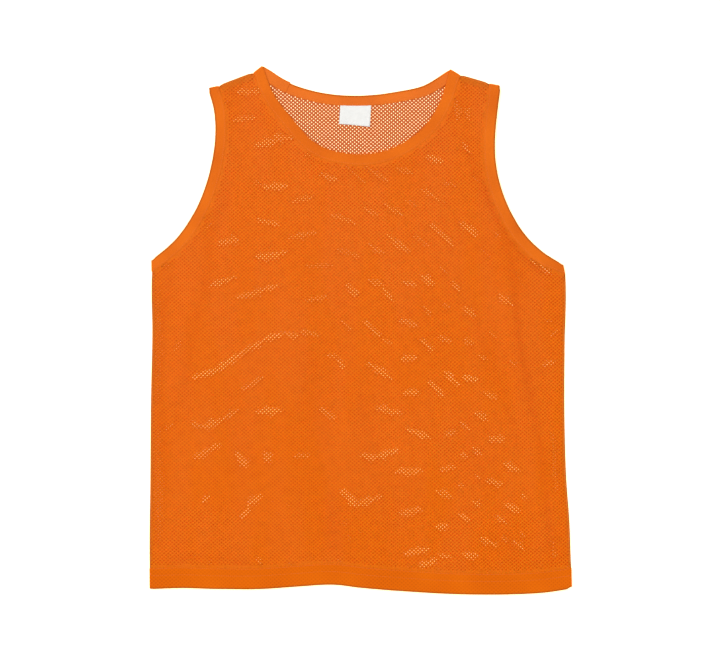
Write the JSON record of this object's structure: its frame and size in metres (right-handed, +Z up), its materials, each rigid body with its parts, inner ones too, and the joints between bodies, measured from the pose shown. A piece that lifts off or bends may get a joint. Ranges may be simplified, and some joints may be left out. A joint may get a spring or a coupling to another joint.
{
  "type": "training bib",
  "caption": "Sleeveless open-mesh training bib laid flat, with taped neck and armholes, a doubled hem and a blank neck label.",
  "frame": {"origin": "middle of the bib on the table, under the centre of its bounding box", "axes": "+X across the bib to the right as seen from above, +Y from the hem to the shoulders, +Z up from the table through the back and then the front"},
  "size_m": [0.5624, 0.7023, 0.0043],
  "materials": {
    "mesh_cloth": "orange knitted polyester mesh with small staggered holes",
    "tape_cloth": "orange close-knit polyester tape, matt",
    "hem_cloth": "orange doubled knit with two rows of stitching",
    "label_cloth": "white woven tape, blank"
  },
  "bodies": {
    "root": {"front_panel": "mesh_cloth", "back_panel": "mesh_cloth", "neck_binding": "tape_cloth", "armhole_binding_left": "tape_cloth", "armhole_binding_right": "tape_cloth", "hem_band": "hem_cloth", "neck_label": "label_cloth"}
  },
  "joints": []
}
